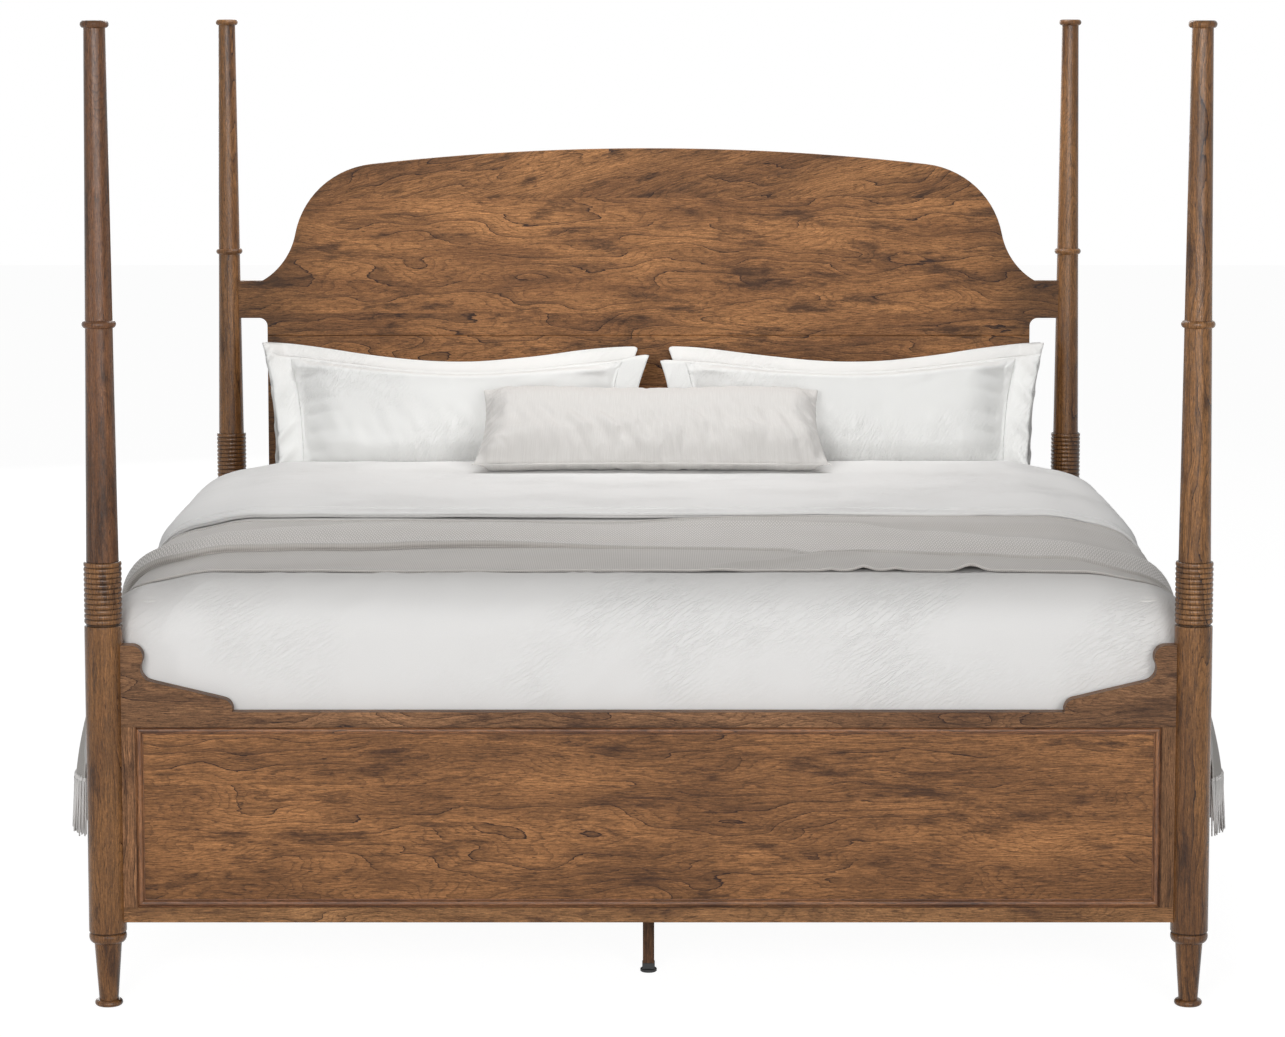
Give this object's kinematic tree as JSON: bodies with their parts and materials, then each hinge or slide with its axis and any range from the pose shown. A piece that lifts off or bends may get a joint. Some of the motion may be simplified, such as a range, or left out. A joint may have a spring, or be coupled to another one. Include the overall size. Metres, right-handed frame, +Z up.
{
  "type": "panel bed",
  "caption": "King-size four-poster panel bed with an arched headboard, an eared panel footboard, slats on support legs, mattress, duvet, throw and pillows.",
  "frame": {"origin": "on the floor under the middle of the bed", "axes": "+Z up, the foot of the bed faces -Y and the headboard stands at +Y, +X to the right seen from the foot"},
  "size_m": [2.209, 2.23, 1.83],
  "materials": {
    "slat_wood": "raw pine",
    "hidden_wood": "stained wood",
    "steel": "zinc plated",
    "screw_steel": "zinc plated",
    "stem_steel": "threaded steel",
    "black_plastic": "matte",
    "nylon": "matte",
    "leg_wood": "satin stain",
    "post_wood": "satin stain",
    "moulding_wood": "satin stain",
    "panel_wood": "satin stain",
    "frame_wood": "satin stain",
    "headboard_wood": "satin stain",
    "rail_wood": "satin stain",
    "ticking": "woven",
    "mattress_cloth": "woven",
    "white_cotton": "soft cotton",
    "grey_knit": "woven wool",
    "sham_cotton": "soft cotton",
    "grey_linen": "linen"
  },
  "bodies": {
    "frame": {"post_foot_front_left": "post_wood", "post_foot_front_right": "post_wood", "post_foot_rear_left": "post_wood", "post_foot_rear_right": "post_wood", "post_lower_front_left": "post_wood", "post_lower_front_right": "post_wood", "post_lower_rear_left": "post_wood", "post_lower_rear_right": "post_wood", "post_upper_front_left": "post_wood", "post_upper_front_right": "post_wood", "post_upper_rear_left": "post_wood", "post_upper_rear_right": "post_wood", "foot_glides": "nylon", "post_studs": "steel", "footboard_top_rail": "frame_wood", "footboard_bottom_rail": "frame_wood", "footboard_stile_left": "frame_wood", "footboard_stile_right": "frame_wood", "footboard_panel": "panel_wood", "footboard_moulding_top": "moulding_wood", "footboard_moulding_bottom": "moulding_wood", "footboard_moulding_left": "moulding_wood", "footboard_moulding_right": "moulding_wood", "headboard_upper_board": "headboard_wood", "headboard_lower_board": "headboard_wood", "headboard_bottom_rail": "headboard_wood", "side_rail_left": "rail_wood", "side_rail_right": "rail_wood", "slat_cleat_left": "hidden_wood", "slat_cleat_right": "hidden_wood", "rail_hook_plates": "steel", "post_slot_plates": "steel", "plate_screws": "screw_steel", "slat_1": "slat_wood", "slat_2": "slat_wood", "slat_3": "slat_wood", "slat_4": "slat_wood", "slat_5": "slat_wood", "wood_screws": "screw_steel", "support_leg_1": "leg_wood", "support_leg_2": "leg_wood", "support_leg_3": "leg_wood", "leg_end_caps": "black_plastic", "box_spring_left": "ticking", "box_spring_right": "ticking"},
    "bedding": {"mattress": "mattress_cloth", "duvet": "white_cotton", "throw": "grey_knit", "pillow_back_left": "sham_cotton", "pillow_back_right": "sham_cotton"},
    "pillow_front_left": {"pillow_front_left": "sham_cotton"},
    "pillow_front_right": {"pillow_front_right": "sham_cotton"},
    "lumbar_pillow": {"lumbar_pillow": "grey_linen"},
    "leveler_pad_1": {"leveler_pad_1": "black_plastic"},
    "leveler_stem_1": {"leveler_stem_1": "stem_steel"},
    "leveler_pad_2": {"leveler_pad_2": "black_plastic"},
    "leveler_stem_2": {"leveler_stem_2": "stem_steel"},
    "leveler_pad_3": {"leveler_pad_3": "black_plastic"},
    "leveler_stem_3": {"leveler_stem_3": "stem_steel"}
  },
  "joints": [
    {"name": "leveler_1_slide", "type": "slide", "parent": "frame", "child": "leveler_pad_1", "axis": [0, 0, -1], "range_m": [0, 0.015]},
    {"name": "leveler_1_turn", "type": "hinge", "parent": "leveler_pad_1", "child": "leveler_stem_1", "pos_m": [0, -0.823, 0.02], "axis": [0, 0, 1], "range_deg": [-4321, 0]},
    {"name": "leveler_2_slide", "type": "slide", "parent": "frame", "child": "leveler_pad_2", "axis": [0, 0, -1], "range_m": [0, 0.015]},
    {"name": "leveler_2_turn", "type": "hinge", "parent": "leveler_pad_2", "child": "leveler_stem_2", "pos_m": [0, 0, 0.02], "axis": [0, 0, 1], "range_deg": [-4321, 0]},
    {"name": "leveler_3_slide", "type": "slide", "parent": "frame", "child": "leveler_pad_3", "axis": [0, 0, -1], "range_m": [0, 0.015]},
    {"name": "leveler_3_turn", "type": "hinge", "parent": "leveler_pad_3", "child": "leveler_stem_3", "pos_m": [0, 0.823, 0.02], "axis": [0, 0, 1], "range_deg": [-4321, 0]},
    {"name": "mattress_lift", "type": "slide", "parent": "frame", "child": "bedding", "axis": [0, 0, 1], "range_m": [0, 0.25]},
    {"name": "pillow_left_lift", "type": "slide", "parent": "bedding", "child": "pillow_front_left", "axis": [0, 0.4695, 0.8829], "range_m": [0, 0.25]},
    {"name": "pillow_right_lift", "type": "slide", "parent": "bedding", "child": "pillow_front_right", "axis": [0, 0.4695, 0.8829], "range_m": [0, 0.25]},
    {"name": "lumbar_lift", "type": "slide", "parent": "bedding", "child": "lumbar_pillow", "axis": [0, 0, 1], "range_m": [0, 0.3]}
  ],
  "couplings": [
    {"joint": "leveler_1_turn", "follows": "leveler_1_slide", "rad_per_m": -5026.5},
    {"joint": "leveler_2_turn", "follows": "leveler_2_slide", "rad_per_m": -5026.5},
    {"joint": "leveler_3_turn", "follows": "leveler_3_slide", "rad_per_m": -5026.5}
  ]
}
